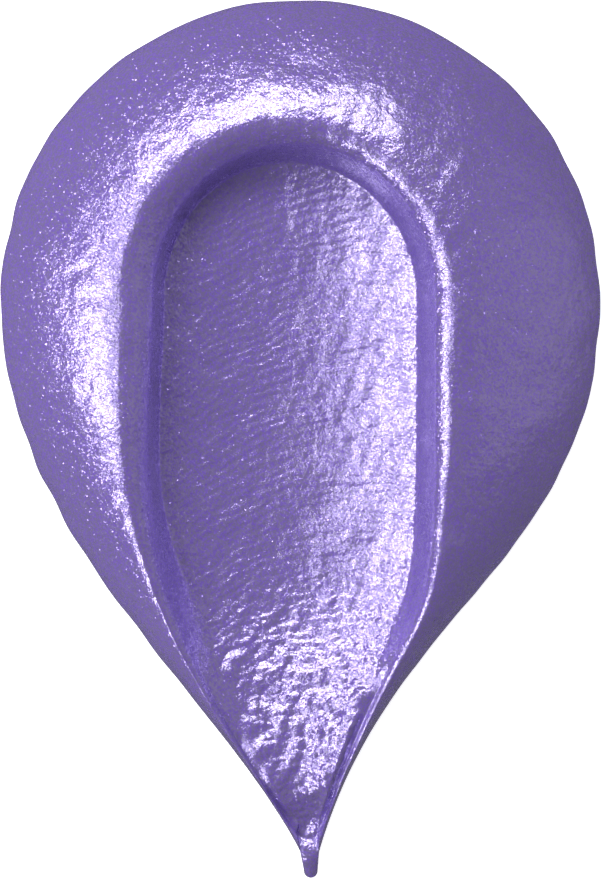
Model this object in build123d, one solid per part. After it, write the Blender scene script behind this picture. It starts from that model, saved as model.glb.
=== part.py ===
"""Paint smear: a dollop of thick pearl paint that a palette knife has pressed into and drawn through.

The knife's blade leaves a round-ended trough with a raised rim on both sides, and lifts off at a thin tail
that ends in a small bead. The paint lies on a flat surface, Z up. The round head is towards +Y, the tail
towards -Y, and the origin is at the middle of the footprint.

One piece: paint_body, the whole mass of paint. Its pearl flakes are mixed in and are not solids here.

The body is worked out on spokes. Each spoke runs from a point on the trough's middle line, over the trough's
edge, to the outline. Rings that join all the spokes at one level are lofted into the solid.
"""
from build123d import *
import os
from math import cos, dist, pi, radians, sin

# Driving dimensions, millimetres
BLADE = 19.6               # width of the palette knife's blade, and so of the trough
BLADE_X = -0.45            # the stroke runs this far off the dollop's middle
ARCH = 10.6                # the trough's round end reaches this far past the head's centre
HEAD_R = 20.95             # radius of the dollop's round head
HEAD_Y = 9.8               # where the centre of the head lies along Y
HALF_LENGTH = 30.75        # the outline runs this far each way from the origin
BEAD_R = 0.48              # radius of the bead that ends the tail
BEAD_X = 0.72              # the tail runs this far off the middle
CREST = 6.7                # height of the rim round the head
TAIL_CREST = 3.3           # height of the rim where the knife begins to leave the paint
SKIRT = 1.2                # the outer slope stands upright up to this height
FLOOR = 1.15               # thickness of the film that the blade left
TAIL_RISE = 2.1            # how much thicker the film is where the blade lifts
BOWL = 2.1                 # how far the film rises towards the foot of the walls
NECK_Y = -28.9             # the flanks end and the tail's thread begins
TROUGH_END_Y = -27.3       # the trough runs out

# Bezier control points (x, y) of the flanks and of the trough's sides, from the head down to the tail
LEFT_FLANK = [(-HEAD_R, HEAD_Y), (-HEAD_R, -6.9), (-5.5, -17.9), (0.0, NECK_Y)]
RIGHT_FLANK = [(HEAD_R, HEAD_Y), (HEAD_R, -8.4), (6.2, -11.5), (1.3, NECK_Y)]
LEFT_X, RIGHT_X = BLADE_X - BLADE / 2, BLADE_X + BLADE / 2
LEFT_EDGE = [(LEFT_X, HEAD_Y), (LEFT_X, -0.7), (-13.6, -8.2), (-0.3, TROUGH_END_Y)]
RIGHT_EDGE = [(RIGHT_X, HEAD_Y), (RIGHT_X, -19.2), (9.0, -5.8), (1.3, TROUGH_END_Y)]

FLANK_SPOKES = 12
HEAD_SPOKES = 20
BEAD_SPOKES = 4
OUTER_ANGLES = range(90, -1, -10)     # degrees round the rim's outer slope, from the outline to the crest
WALL_LEVELS = [(0.83, 0.84), (0.58, 0.52), (0.29, 0.2), (0.0, 0.0)]   # way from the foot out, share of height
FLOOR_LEVELS = [0.92, 0.82, 0.7, 0.58, 0.46, 0.33, 0.18]   # way from the pole to the wall's foot, as a share
POLE = (0.0, -3.0)         # the spot in the trough that the floor's rings close on


def mix(a, b, t):
    return a + (b - a) * t


def smooth(low, high, value):
    """0 below low, 1 above high, and an even S between them."""
    t = min(1.0, max(0.0, (value - low) / (high - low)))
    return t * t * (3 - 2 * t)


def bezier(points, s):
    """The point at s, from 0 to 1, on a cubic Bezier curve."""
    weights = ((1 - s) ** 3, 3 * s * (1 - s) ** 2, 3 * s * s * (1 - s), s ** 3)
    return tuple(sum(w * p[axis] for w, p in zip(weights, points)) for axis in (0, 1))


def across(points, y):
    """X where a Bezier curve that runs steadily down passes y."""
    low, high = 0.0, 1.0
    for _ in range(40):
        middle = (low + high) / 2
        if bezier(points, middle)[1] > y:
            low = middle
        else:
            high = middle
    return bezier(points, low)[0]


def middle_point(edge):
    """The point on the trough's middle line that a spoke through this point of its edge starts from."""
    return (0.35 * smooth(-5, -25, edge[1]), max(TROUGH_END_Y + 1.6, min(HEAD_Y, edge[1])))


def flank(side_curve, edge_curve):
    """Spokes down one flank, as (outline point, edge point), without the one shared with the head."""
    found = []
    for i in range(1, FLANK_SPOKES + 1):
        y = mix(HEAD_Y, NECK_Y, i / FLANK_SPOKES)
        edge_y = mix(HEAD_Y, TROUGH_END_Y, i / FLANK_SPOKES)
        found.append(((across(side_curve, y), y), (across(edge_curve, edge_y), edge_y)))
    return found


def head():
    """Spokes round the head, from its left to its right."""
    found = []
    for i in range(HEAD_SPOKES + 1):
        turn = pi * (1 - i / HEAD_SPOKES)
        outline = (HEAD_R * cos(turn), HEAD_Y + HEAD_R * sin(turn))
        found.append((outline, (BLADE_X + BLADE / 2 * cos(turn), HEAD_Y + ARCH * sin(turn))))
    return found


def bead():
    """Spokes round the bead at the tail's end, from its right to its left."""
    centre_y = -HALF_LENGTH + BEAD_R
    found = []
    for i in range(BEAD_SPOKES + 1):
        turn = -pi * i / BEAD_SPOKES
        edge_turn = -pi * (i + 1) / (BEAD_SPOKES + 2)
        outline = (BEAD_X + BEAD_R * cos(turn), centre_y + BEAD_R * sin(turn))
        found.append((outline, (0.5 + 0.8 * cos(edge_turn), TROUGH_END_Y + 0.6 * sin(edge_turn))))
    return found


def spokes():
    """Every spoke, clockwise from the left of the tail, as (outline point, edge point)."""
    left = flank(LEFT_FLANK, LEFT_EDGE)[::-1]
    return left + head() + flank(RIGHT_FLANK, RIGHT_EDGE) + bead()


def tail_share(edge):
    """0 round the head and down to the middle of the flanks, rising to 1 where the trough ends."""
    return 1 - smooth(-24, 2, edge[1])


def crest_height(outline, edge):
    ending = smooth(-23.5, -27.5, edge[1])
    thread = smooth(NECK_Y, -HALF_LENGTH + BEAD_R, outline[1])
    return mix(CREST, TAIL_CREST, tail_share(edge)) * mix(1, 0.6, ending) * mix(1, 0.85, thread)


def crest_share(edge):
    """Where the crest lies from the trough's edge to the outline: a soft shoulder left, a thin lip right."""
    left = 1 - smooth(LEFT_X, RIGHT_X, edge[0])
    return mix(mix(0.1, 0.2, left), 0.42, tail_share(edge) ** 2)


def edge_height(outline, edge):
    left = 1 - smooth(LEFT_X, RIGHT_X, edge[0])
    drop = mix(0.5, 1.1, left) * mix(1, 0.3, tail_share(edge))
    return crest_height(outline, edge) - drop


def skirt_height(outline, edge):
    thread = smooth(NECK_Y, -HALF_LENGTH + BEAD_R, outline[1])
    return min(SKIRT, 0.42 * crest_height(outline, edge)) * mix(1, 0.6, thread)


def foot_share(edge):
    """Where the wall's foot lies from the middle line to the trough's edge: walls lean more in the tail."""
    left = 1 - smooth(LEFT_X, RIGHT_X, edge[0])
    return mix(mix(0.86, 0.92, left), mix(0.82, 0.5, left), tail_share(edge) ** 2)


def floor_height(x, y):
    """Height of the film: a shallow bowl across the trough, thicker where the blade begins to lift."""
    lift = smooth(-8, -23, y) * (1 - 0.85 * smooth(-23.5, -27.5, y))
    down_y = max(TROUGH_END_Y + 0.8, min(HEAD_Y, y))
    left, right = across(LEFT_EDGE, down_y), across(RIGHT_EDGE, down_y)
    aside = (x - mix(left, right, 0.49)) / ((right - left) / 2)
    ahead = max(0.0, y - HEAD_Y) / ARCH
    bowl = BOWL * (1 - 0.7 * smooth(-6, -22, y)) * (aside ** 2 + 0.6 * ahead ** 2)
    return FLOOR + (TAIL_RISE + 0.1 * x) * lift + bowl


def outer_point(spoke, angle):
    """A point on the rim's outer slope, which falls ever more steeply from the crest to the skirt's top."""
    outline, edge = spoke
    down = sin(radians(angle))
    out = mix(crest_share(edge), 1, down)
    skirt = skirt_height(outline, edge)
    rise = mix(skirt, crest_height(outline, edge), (1 - down ** 1.4) ** (1 / 1.35))
    return (mix(edge[0], outline[0], out), mix(edge[1], outline[1], out), rise)


def wall_point(spoke, way, wall):
    """A point on the trough's wall, at a share of the way from its foot to its edge and of its height."""
    outline, edge = spoke
    start = middle_point(edge)
    out = mix(foot_share(edge), 1, way)
    x, y = mix(start[0], edge[0], out), mix(start[1], edge[1], out)
    return (x, y, mix(floor_height(x, y), edge_height(outline, edge), wall))


def floor_point(spoke, way):
    """A point on the trough's floor, at a share of the way from the pole to the foot of the wall."""
    foot = wall_point(spoke, 0.0, 0.0)
    x, y = mix(POLE[0], foot[0], way), mix(POLE[1], foot[1], way)
    return (x, y, floor_height(x, y))


def ring_points(all_spokes):
    """The rings of the loft, from the outline at the base, over the crest and down into the trough."""
    rings = [[(*outline, 0.0) for outline, edge in all_spokes]]
    rings += [[outer_point(spoke, angle) for spoke in all_spokes] for angle in OUTER_ANGLES]
    rings.append([wall_point(spoke, 1.0, 1.0) for spoke in all_spokes])
    rings += [[wall_point(spoke, way, wall) for spoke in all_spokes] for way, wall in WALL_LEVELS]
    rings += [[floor_point(spoke, way) for spoke in all_spokes] for way in FLOOR_LEVELS]
    return rings


def steps_along(ring):
    """How far along the closed ring each point lies, from 0 to 1, with the first point again at the end."""
    lengths = [dist(a, b) for a, b in zip(ring, ring[1:] + ring[:1])]
    return [sum(lengths[:i]) / sum(lengths) for i in range(len(ring))] + [1.0]


def paint_body():
    """The one mass of paint, lofted through its rings and closed at one point of the trough's floor."""
    rings = ring_points(spokes())
    steps = steps_along(rings[0])
    curves = [Edge.make_spline([Vector(*p) for p in r], periodic=True, parameters=steps) for r in rings]
    wires = [Wire([curve]) for curve in curves]
    return Solid.make_loft([*wires, Vertex(*POLE, floor_height(*POLE))], ruled=True)


if __name__ == "__main__":
    os.makedirs("parts", exist_ok=True)
    paint = paint_body()
    print("paint", round(paint.volume), "mm3, valid", paint.is_valid, paint.bounding_box().size)
    export_step(paint, "parts/paint_body.step")
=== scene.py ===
"""Paint smear: a dollop of violet pearl paint with a palette knife's trough through it, on a pale floor.

The paint is worked out in millimetres and made in metres. Z is up and the dollop's head is towards +Y.
"""

from math import cos, pi, radians, sin

import bmesh
import bpy
import numpy as np
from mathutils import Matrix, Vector


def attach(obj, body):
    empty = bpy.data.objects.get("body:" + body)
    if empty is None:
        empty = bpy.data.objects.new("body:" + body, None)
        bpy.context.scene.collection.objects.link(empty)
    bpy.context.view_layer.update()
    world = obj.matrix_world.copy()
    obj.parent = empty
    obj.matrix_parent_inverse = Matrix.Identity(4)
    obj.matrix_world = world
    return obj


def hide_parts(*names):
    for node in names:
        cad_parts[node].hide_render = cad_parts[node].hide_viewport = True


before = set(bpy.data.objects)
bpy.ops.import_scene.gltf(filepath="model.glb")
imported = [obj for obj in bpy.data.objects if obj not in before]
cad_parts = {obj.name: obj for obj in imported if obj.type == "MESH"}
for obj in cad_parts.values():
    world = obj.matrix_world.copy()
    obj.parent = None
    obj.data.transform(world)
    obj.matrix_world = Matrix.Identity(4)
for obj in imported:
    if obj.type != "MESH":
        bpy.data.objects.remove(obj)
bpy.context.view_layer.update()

MM = 0.001

# The dollop's plan
BLADE = 19.6               # width of the palette knife's blade, and so of the trough
BLADE_X = -0.45            # the stroke runs this far off the dollop's middle
ARCH = 10.6                # the trough's round end reaches this far past the head's centre
HEAD_R = 20.95             # radius of the round head
HEAD_Y = 9.8               # where the head's centre lies along Y
HALF_LENGTH = 30.75        # the outline runs this far each way from the origin
BEAD_R = 0.48              # radius of the bead that ends the tail
BEAD_X = 0.72              # the tail runs this far off the middle
NECK_Y = -28.9             # the flanks end and the tail's thread begins
TROUGH_END_Y = -27.3       # the trough runs out
LEFT_FLANK = [(-HEAD_R, HEAD_Y), (-HEAD_R, -6.9), (-5.5, -17.9), (0.0, NECK_Y)]
RIGHT_FLANK = [(HEAD_R, HEAD_Y), (HEAD_R, -8.4), (6.2, -11.5), (1.3, NECK_Y)]
LEFT_X, RIGHT_X = BLADE_X - BLADE / 2, BLADE_X + BLADE / 2
LEFT_EDGE = [(LEFT_X, HEAD_Y), (LEFT_X, -0.7), (-13.6, -8.2), (-0.3, TROUGH_END_Y)]
RIGHT_EDGE = [(RIGHT_X, HEAD_Y), (RIGHT_X, -19.2), (9.0, -5.8), (1.3, TROUGH_END_Y)]

# Its heights
CREST = 6.7                # the rim round the head
TAIL_CREST = 3.3           # the rim where the knife begins to leave the paint
SKIRT = 1.2                # the outer slope turns upright this high
FLOOR = 1.15               # the film that the blade left
TAIL_RISE = 2.1            # how much thicker the film is where the blade lifts
BOWL = 2.1                 # how far the film rises towards the foot of the walls
CURL = 0.35                # the paint's edge rounds under by this much

# Where along Y the stroke changes: from here it starts to, and from there on it has
RIM_FALLS, RIM_LOW = 2.0, -24.0           # the rim sinks and narrows from the head's to the tail's
BOWL_FADES, BOWL_SHALLOW = -6.0, -22.0    # the trough's floor flattens across
LIFT_STARTS, LIFT_FULL = -8.0, -23.0      # the film thickens as the blade lifts
END_STARTS, END_FULL = -23.5, -27.5       # rim and film thin out to the tip
PULL_STARTS, PULL_FULL = -10.0, -24.0     # the lifting blade pulls the paint up rough

# Spokes round the plan, and rings along each spoke
FLANK_SPOKES = 190
HEAD_SPOKES = 300
THREAD_SPOKES = 8
BEAD_SPOKES = 30
UNDER_RINGS = 8
CURL_RINGS = 6
SLOPE_RINGS = 40
LIP_RINGS = 9
WALL_RINGS = 20
FLOOR_RINGS = 44
POLE = (0.0, -3.0)         # the spot in the trough that the floor's rings close on
UNDER_CENTRE = (0.0, 5.0)  # the spot on the underside that its rings close on

# Its unevenness
LUMP_REACH, LUMP_HEIGHT = 4.5, 0.028      # slow lumps all over
RIPPLE_REACH, RIPPLE_HEIGHT = 1.5, 0.014  # quick ones
TAIL_RIPPLE_HEIGHT = 0.05                 # and the same in the tail, where the blade pulled the paint up
EDGE_REACH, EDGE_WAVE = 4.0, 0.035        # how the foot of the outer slope wanders in and out
CRUMB = (7.7, 13.2)        # a crumb of paint the blade left at the foot of the right wall
CRUMB_HEIGHT, CRUMB_SPREAD = 0.16, 0.35

# The paint's finish
CHATTER_MIDDLE = 0.0035    # the blade's marks bow about a line this far along +X, in metres
CHATTER_BOW = 32.0         # and this strongly: metres of bow to a square metre
CHATTER_WANDER = 0.0018    # they wander by up to this much, in metres
FLAKE_LEAN = 0.13          # how far the flakes lean off the skin, as a share of its normal
STRAY_LEAN = 0.7           # and how much further the few strays do
CURDS_START, CURDS_FULL = -0.006, -0.017  # where along Y the tail curdles, in metres

# The studio, in metres
BOARD_REACH = 0.6          # the board reaches this far each way
BOARD_DROP = 0.00002       # the board's top lies this far under the paint, so the two faces don't flicker
LIGHT_AWAY = 0.4           # the lights' distance from the paint
CAMERA_HEIGHT = 0.2574


def linear(code):
    """An sRGB hex colour as linear red, green, blue and alpha."""
    parts = [int(code[i:i + 2], 16) / 255 for i in (1, 3, 5)]
    return [p / 12.92 if p <= 0.04045 else ((p + 0.055) / 1.055) ** 2.4 for p in parts] + [1.0]


def mix(a, b, t):
    return a + (b - a) * t


def smooth(low, high, value):
    """0 below low, 1 above high, and an even S between them."""
    t = np.clip((value - low) / (high - low), 0, 1)
    return t * t * (3 - 2 * t)


def across(points, y):
    """X where a cubic Bezier curve that runs steadily down passes each y."""
    s = np.linspace(0, 1, 600)[:, None]
    weights = np.hstack([(1 - s) ** 3, 3 * s * (1 - s) ** 2, 3 * s ** 2 * (1 - s), s ** 3])
    curve = weights @ np.array(points)
    return np.interp(-np.asarray(y, float), -curve[:, 1], curve[:, 0])


def plan():
    """Outline point and trough's edge point of every spoke, clockwise from the left of the tail."""
    down = np.arange(1, FLANK_SPOKES + 1) / FLANK_SPOKES
    y = mix(HEAD_Y, NECK_Y, down)
    edge_y = mix(HEAD_Y, TROUGH_END_Y, down)
    left = np.c_[across(LEFT_FLANK, y), y]
    left_edge = np.c_[across(LEFT_EDGE, edge_y), edge_y]
    right = np.c_[across(RIGHT_FLANK, y), y]
    right_edge = np.c_[across(RIGHT_EDGE, edge_y), edge_y]
    turn = np.linspace(pi, 0, HEAD_SPOKES + 1)
    ray = np.c_[np.cos(turn), np.sin(turn)]
    head = ray * HEAD_R + (0, HEAD_Y)
    head_edge = ray * (BLADE / 2, ARCH) + (BLADE_X, HEAD_Y)
    bead_at = np.array([BEAD_X, -HALF_LENGTH + BEAD_R])
    turn = np.linspace(0, -pi, BEAD_SPOKES)
    bead = bead_at + BEAD_R * np.c_[np.cos(turn), np.sin(turn)]
    down = np.arange(1, THREAD_SPOKES + 1)[:, None] / (THREAD_SPOKES + 1)
    thread = np.vstack([mix(right[-1], bead[0], down), bead, mix(bead[-1], left[-1], down)])
    turn = np.linspace(0, -pi, len(thread) + 2)[1:-1]
    thread_edge = np.c_[0.5 + 0.8 * np.cos(turn), TROUGH_END_Y + 0.6 * np.sin(turn)]
    outline = np.vstack([left[::-1], head, right, thread])
    edge = np.vstack([left_edge[::-1], head_edge, right_edge, thread_edge])
    return outline, edge


def floor_height(x, y):
    """Height of the film: a shallow bowl across the trough, thicker where the blade begins to lift."""
    lift = smooth(LIFT_STARTS, LIFT_FULL, y) * (1 - 0.85 * smooth(END_STARTS, END_FULL, y))
    down_y = np.clip(y, TROUGH_END_Y + 0.8, HEAD_Y)
    left, right = across(LEFT_EDGE, down_y), across(RIGHT_EDGE, down_y)
    aside = (x - mix(left, right, 0.49)) / ((right - left) / 2)
    ahead = np.maximum(0, y - HEAD_Y) / ARCH
    bowl = BOWL * (1 - 0.7 * smooth(BOWL_FADES, BOWL_SHALLOW, y)) * (aside ** 2 + 0.6 * ahead ** 2)
    return FLOOR + (TAIL_RISE + 0.1 * x) * lift + bowl


def waves(x, y, z, reach, seed, count=40):
    """Soft lumps: a sum of plane sine waves in random directions, about reach from crest to crest."""
    rng = np.random.default_rng(seed)
    total = np.zeros_like(x)
    for _ in range(count):
        way = rng.normal(size=3)
        way *= 2 * pi / (reach * rng.uniform(0.7, 1.5) * np.linalg.norm(way))
        total += np.sin(x * way[0] + y * way[1] + z * way[2] + rng.uniform(0, 2 * pi))
    return total / (count / 2) ** 0.5


def paint_surface():
    """Rings of points from the middle of the underside, out round the edge, up the outer slope, over the
    crest, down the trough's wall and along its floor to one closing point. Spokes are straight in plan.
    The second result is each point's share of being in the trough.

    Curl: a quarter circle, stretched upright, from the underside to the top of the skirt.
    Outer slope: with t the way out from the crest to the outline, take 1 less t to the power 1.4, and
    raise that to the power 1 over 1.35. It is the share of the crest's height above the skirt.
    Lip: a parabola from the crest down to the trough's edge.
    Wall: a cubic from the edge's height and slope down to the floor's.
    """
    outline, edge = plan()
    left = 1 - smooth(LEFT_X, RIGHT_X, edge[:, 0])
    tail = 1 - smooth(RIM_LOW, RIM_FALLS, edge[:, 1])
    ending = smooth(END_STARTS, END_FULL, edge[:, 1])
    thread = smooth(NECK_Y, -HALF_LENGTH + BEAD_R, outline[:, 1])
    crest = mix(CREST, TAIL_CREST, tail) * mix(1, 0.6, ending) * mix(1, 0.85, thread)
    share = mix(mix(0.1, 0.2, left), 0.42, tail ** 2)
    drop = mix(0.5, 1.1, left) * mix(1, 0.3, tail)
    skirt = np.minimum(SKIRT, 0.42 * crest) * mix(1, 0.6, thread)
    curl = CURL * mix(1, 0.3, tail)
    start = np.c_[0.35 * smooth(-5, -25, edge[:, 1]), np.clip(edge[:, 1], TROUGH_END_Y + 1.6, HEAD_Y)]
    span = outline - edge
    way_out = span / np.linalg.norm(span, axis=1)[:, None]
    inset = outline - way_out * curl[:, None]

    plan_rings, heights = [], []

    def add(points, height):
        plan_rings.append(points)
        heights.append(np.broadcast_to(height, len(points)))

    for i in range(1, UNDER_RINGS + 1):
        add(mix(np.array(UNDER_CENTRE), inset, i / UNDER_RINGS), 0.0)
    for i in range(1, CURL_RINGS + 1):
        turn = pi / 2 * i / CURL_RINGS
        add(inset + way_out * (curl * sin(turn))[:, None], skirt * (1 - cos(turn)))
    for i in range(1, SLOPE_RINGS + 1):
        t = (1 + cos(pi * i / SLOPE_RINGS)) / 2
        fall = (1 - t ** 1.4) ** (1 / 1.35)
        out = mix(share, 1, t)
        add(mix(edge, outline, out[:, None]), skirt + (crest - skirt) * fall)
    for i in range(1, LIP_RINGS + 1):
        s = 1 - i / LIP_RINGS
        add(mix(edge, outline, (share * s)[:, None]), crest - drop * (1 - s) ** 2)

    foot_share = mix(mix(0.86, 0.92, left), mix(0.82, 0.5, left), tail ** 2)
    foot = mix(start, edge, foot_share[:, None])
    length = np.linalg.norm(edge - foot, axis=1)
    foot_z = floor_height(foot[:, 0], foot[:, 1])
    edge_z = crest - drop
    lip_slope = 2 * drop / np.maximum(0.3, share * np.linalg.norm(span, axis=1)) * length
    lip_slope = np.minimum(lip_slope, 2 * np.maximum(0, edge_z - foot_z))
    nearer = mix(start, edge, (foot_share - 0.02)[:, None])
    floor_step = foot_z - floor_height(nearer[:, 0], nearer[:, 1])
    floor_slope = floor_step / np.linalg.norm(foot - nearer, axis=1) * length
    for i in range(1, WALL_RINGS + 1):
        w = 1 - i / WALL_RINGS
        cubic = (2 * w ** 3 - 3 * w ** 2 + 1) * foot_z + (w ** 3 - 2 * w ** 2 + w) * floor_slope
        cubic = cubic + (3 * w ** 2 - 2 * w ** 3) * edge_z + (w ** 3 - w ** 2) * lip_slope
        add(mix(foot, edge, w), cubic)
    for i in range(1, FLOOR_RINGS):
        points = mix(foot, np.array(POLE), i / FLOOR_RINGS)
        add(points, floor_height(points[:, 0], points[:, 1]))

    rings = np.dstack([np.array(plan_rings), np.array(heights)])
    floor_from = UNDER_RINGS + CURL_RINGS + SLOPE_RINGS + LIP_RINGS
    trough = np.zeros(rings.shape[:2])
    inward = np.arange(1, len(rings) - floor_from + 1) / WALL_RINGS
    trough[floor_from:] = smooth(0.35, 1, inward)[:, None]
    return rings, trough


def roughen(rings):
    """The paint's own unevenness: lumps largest in the tail, a crumb, and none where it meets the floor."""
    x, y, z = rings[..., 0], rings[..., 1], rings[..., 2]
    amount = smooth(0.2, 1.6, z)
    tail = smooth(PULL_STARTS, PULL_FULL, y)
    lumps = LUMP_HEIGHT * waves(x, y, z, LUMP_REACH, 1)
    lumps = lumps + mix(RIPPLE_HEIGHT, TAIL_RIPPLE_HEIGHT, tail) * waves(x, y, z, RIPPLE_REACH, 2)
    uneven = rings.copy()
    away = (x - CRUMB[0]) ** 2 + (y - CRUMB[1]) ** 2
    crumb = CRUMB_HEIGHT * np.exp(-away / (2 * CRUMB_SPREAD ** 2))
    uneven[..., 2] = z + amount * lumps + crumb
    low_down = smooth(0.0, 0.8, z) * (1 - smooth(1.5, 3.5, z))
    edge_wave = EDGE_WAVE * waves(x, y, 0 * z, EDGE_REACH, 3, 12) * low_down
    outward = np.hypot(x, y - HEAD_Y) + 1e-6
    uneven[..., 0] = x + edge_wave * x / outward * (1 - tail)
    uneven[..., 1] = y + edge_wave * (y - HEAD_Y) / outward * (1 - tail)
    return uneven


def closed_mesh(name, rings, trough, first, last):
    """A mesh of quads between the rings, closed at each end by a fan to one point."""
    rows, count = rings.shape[:2]
    points = np.vstack([rings.reshape(-1, 3), first, last]) * MM
    row = np.arange(rows - 1)[:, None] * count
    here = np.arange(count)[None, :]
    there = (here + 1) % count
    quads = np.stack([row + here, row + there, row + count + there, row + count + here], -1).reshape(-1, 4)
    around, beside = here[0], there[0]
    start, end = rows * count, rows * count + 1
    top = (rows - 1) * count
    first_fan = np.c_[np.full(count, start), beside, around]
    last_fan = np.c_[np.full(count, end), top + around, top + beside]
    mesh = bpy.data.meshes.new(name)
    mesh.from_pydata(points.tolist(), [], quads.tolist() + first_fan.tolist() + last_fan.tolist())
    values = np.append(trough.ravel(), [0.0, 1.0])
    mesh.attributes.new("trough", "FLOAT", "POINT").data.foreach_set("value", values)
    clean = bmesh.new()
    clean.from_mesh(mesh)
    bmesh.ops.remove_doubles(clean, verts=clean.verts, dist=1e-7)
    bmesh.ops.recalc_face_normals(clean, faces=clean.faces)
    clean.to_mesh(mesh)
    clean.free()
    mesh.shade_smooth()
    piece = bpy.data.objects.new(name, mesh)
    bpy.context.scene.collection.objects.link(piece)
    return piece


def node(material, kind, settings=None, **links):
    """Adds a node, with its settings by name and its inputs as values or as other nodes' output sockets.

    An input is named with underscores for its spaces, or as i and its number where several share a name.
    """
    made = material.node_tree.nodes.new(kind)
    for key, value in (settings or {}).items():
        setattr(made, key, value)
    for key, value in links.items():
        numbered = key[0] == "i" and key[1:].isdigit()
        socket = made.inputs[int(key[1:]) if numbered else key.replace("_", " ")]
        if isinstance(value, bpy.types.NodeSocket):
            material.node_tree.links.new(value, socket)
        else:
            socket.default_value = value
    return made


def pearl_paint():
    """Thick acrylic with mica pearl: a clear violet binder full of flat flakes that mostly lie along its
    skin. Each flake is one cell 0.1 mm across with its own small tilt, so the skin glitters grain by grain,
    and turns from pale lavender where it faces a light to deep violet where it doesn't. The wet binder lies
    over them all.
    """
    material = bpy.data.materials.new("violet pearl acrylic paint, wet")
    material.use_nodes = True
    tree = material.node_tree
    tree.nodes.clear()
    where = node(material, "ShaderNodeTexCoord").outputs["Object"]
    in_trough = node(material, "ShaderNodeAttribute", {"attribute_name": "trough"}).outputs["Fac"]

    # Chatter marks that the blade leaves 0.7 mm apart, bowed towards the head
    split = node(material, "ShaderNodeSeparateXYZ", i0=where)
    aside = node(material, "ShaderNodeMath", {"operation": "SUBTRACT"}, i0=split.outputs["X"],
                 i1=CHATTER_MIDDLE)
    bowed = node(material, "ShaderNodeMath", {"operation": "MULTIPLY"}, i0=aside.outputs[0],
                 i1=aside.outputs[0])
    along = node(material, "ShaderNodeMath", {"operation": "MULTIPLY_ADD"}, i0=bowed.outputs[0],
                 i1=CHATTER_BOW, i2=split.outputs["Y"])
    wander = node(material, "ShaderNodeTexNoise", Vector=where, Scale=350.0, Detail=2.0)
    marks = node(material, "ShaderNodeMath", {"operation": "MULTIPLY_ADD"}, i0=wander.outputs["Fac"],
                 i1=CHATTER_WANDER, i2=along.outputs[0])
    drawn = node(material, "ShaderNodeCombineXYZ", X=marks.outputs[0])
    chatter = node(material, "ShaderNodeTexWave", {"wave_type": "BANDS", "bands_direction": "X"},
                   Vector=drawn.outputs[0], Scale=450.0)
    kept = node(material, "ShaderNodeMath", {"operation": "MULTIPLY"}, i0=chatter.outputs["Fac"],
                i1=in_trough)

    # Curds that the lifting blade pulls up in the tail, 0.9 mm apart with sharp creases between them
    towards_tail = node(material, "ShaderNodeMapRange", Value=split.outputs["Y"], From_Min=CURDS_START,
                        From_Max=CURDS_FULL, To_Min=0.0, To_Max=1.0)
    curdled = node(material, "ShaderNodeMath", {"operation": "MULTIPLY"}, i0=towards_tail.outputs[0],
                   i1=in_trough)
    curds = node(material, "ShaderNodeTexVoronoi", {"voronoi_dimensions": "3D", "feature": "SMOOTH_F1"},
                 Vector=where, Scale=1100.0, Smoothness=0.3, Detail=1.0, Roughness=0.4)
    raised = node(material, "ShaderNodeMath", {"operation": "MULTIPLY"}, i0=curds.outputs["Distance"],
                  i1=curdled.outputs[0])

    # Orange peel, lumps 0.7 mm apart
    peel = node(material, "ShaderNodeTexNoise", Vector=where, Scale=1500.0, Detail=3.0, Roughness=0.6)
    ridged = node(material, "ShaderNodeMath", {"operation": "MULTIPLY_ADD"}, i0=kept.outputs[0], i1=0.16,
                  i2=peel.outputs["Fac"])
    relief = node(material, "ShaderNodeMath", {"operation": "MULTIPLY_ADD"}, i0=raised.outputs[0], i1=-1.6,
                  i2=ridged.outputs[0])
    wet_skin = node(material, "ShaderNodeBump", Strength=1.0, Distance=0.00009, Height=relief.outputs[0])

    # Flakes, one cell each. Most real ones are finer, and these are as coarse as they need to be to show.
    flakes = node(material, "ShaderNodeTexVoronoi", {"voronoi_dimensions": "3D", "feature": "F1"},
                  Vector=where, Scale=10000.0)
    centred = node(material, "ShaderNodeVectorMath", {"operation": "SUBTRACT"}, i0=flakes.outputs["Color"],
                   i1=(0.5, 0.5, 0.5))
    pick = node(material, "ShaderNodeSeparateColor", i0=flakes.outputs["Color"])
    strays = node(material, "ShaderNodeMath", {"operation": "POWER"}, i0=pick.outputs["Blue"], i1=6.0)
    lean = node(material, "ShaderNodeMath", {"operation": "MULTIPLY_ADD"}, i0=strays.outputs[0],
                i1=STRAY_LEAN, i2=FLAKE_LEAN)
    tilt = node(material, "ShaderNodeVectorMath", {"operation": "SCALE"}, i0=centred.outputs[0],
                Scale=lean.outputs[0])
    leaned = node(material, "ShaderNodeVectorMath", {"operation": "ADD"}, i0=wet_skin.outputs["Normal"],
                  i1=tilt.outputs[0])
    flake_face = node(material, "ShaderNodeVectorMath", {"operation": "NORMALIZE"}, i0=leaned.outputs[0])
    shows = node(material, "ShaderNodeMapRange", Value=pick.outputs["Red"], From_Min=0.3, From_Max=0.5,
                 To_Min=0.08, To_Max=0.58)
    colour = node(material, "ShaderNodeMix", {"data_type": "RGBA"}, i0=shows.outputs[0],
                  i6=linear("#6f51bd"), i7=linear("#c3b2ec"))
    surface = node(material, "ShaderNodeBsdfPrincipled", Base_Color=colour.outputs[2],
                   Metallic=shows.outputs[0], Roughness=0.22, IOR=1.5, Coat_Weight=0.9,
                   Coat_Roughness=0.2, Coat_IOR=1.85, Normal=flake_face.outputs[0],
                   Coat_Normal=wet_skin.outputs["Normal"])
    node(material, "ShaderNodeOutputMaterial", Surface=surface.outputs[0])
    return material


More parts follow.
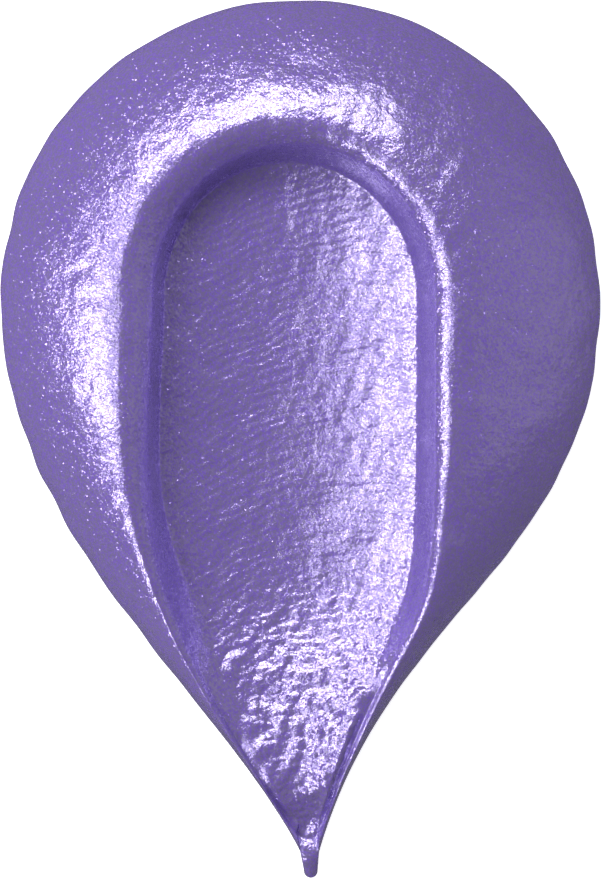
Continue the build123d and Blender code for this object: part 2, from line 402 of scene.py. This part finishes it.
def white_board():
    """Coated white board: matt, and bright enough that the paint's own shadow on it is barely there."""
    material = bpy.data.materials.new("white coated board")
    material.use_nodes = True
    shader = material.node_tree.nodes["Principled BSDF"]
    shader.inputs["Base Color"].default_value = linear("#f7f7f7")
    shader.inputs["Roughness"].default_value = 0.9
    shader.inputs["Emission Color"].default_value = linear("#ffffff")
    shader.inputs["Emission Strength"].default_value = 0.85
    return material


def softbox(name, azimuth, elevation, width, height, power):
    """A soft light aimed at the paint. Azimuth is degrees from +X towards +Y, elevation is degrees up."""
    light = bpy.data.lights.new(name, "AREA")
    light.shape = "ELLIPSE"
    light.size, light.size_y = width, height
    light.energy = power
    lamp = bpy.data.objects.new(name, light)
    turn, rise = radians(azimuth), radians(elevation)
    away = Vector((cos(rise) * cos(turn), cos(rise) * sin(turn), sin(rise)))
    lamp.location = away * LIGHT_AWAY
    lamp.rotation_euler = away.to_track_quat("Z", "Y").to_euler()
    bpy.context.scene.collection.objects.link(lamp)
    return lamp


rings, trough = paint_surface()
rings = roughen(rings)
pole = (*POLE, float(rings[-1, :, 2].mean()))
paint = closed_mesh("paint", rings, trough, (*UNDER_CENTRE, 0.0), pole)
paint.data.materials.append(pearl_paint())
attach(paint, "root")
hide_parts("paint_body")

board_mesh = bpy.data.meshes.new("board")
corners = [(x * BOARD_REACH, y * BOARD_REACH, 0) for x, y in ((-1, -1), (1, -1), (1, 1), (-1, 1))]
board_mesh.from_pydata(corners, [], [(0, 1, 2, 3)])
board = bpy.data.objects.new("board", board_mesh)
board.location.z = -BOARD_DROP
bpy.context.scene.collection.objects.link(board)
board.data.materials.append(white_board())
board.visible_glossy = False    # or its glow, mirrored in the wet paint, washes out the paint's edges

boxes = [
    softbox("left softbox", 182, 45, 0.1, 0.2, 0.38),
    softbox("high left softbox", 184, 66, 0.1, 0.22, 0.17),
    softbox("corner softbox", 140, 50, 0.12, 0.12, 0.2),
    softbox("top softbox", 95, 52, 0.34, 0.15, 0.85),
    softbox("right fill", 5, 26, 0.3, 0.35, 0.05),
    softbox("near left softbox", 225, 40, 0.12, 0.12, 0.3),
]

world = bpy.data.worlds.new("studio")
bpy.context.scene.world = world
world.use_nodes = True
world.node_tree.nodes["Background"].inputs["Color"].default_value = linear("#f4f4f8")
world.node_tree.nodes["Background"].inputs["Strength"].default_value = 0.12
bpy.context.scene.view_settings.view_transform = "Standard"

camera_data = bpy.data.cameras.new("camera")
camera_data.lens = 150
camera_data.sensor_width = 36
camera = bpy.data.objects.new("camera", camera_data)
camera.location = (0, 0, CAMERA_HEIGHT)
bpy.context.scene.collection.objects.link(camera)
bpy.context.scene.camera = camera
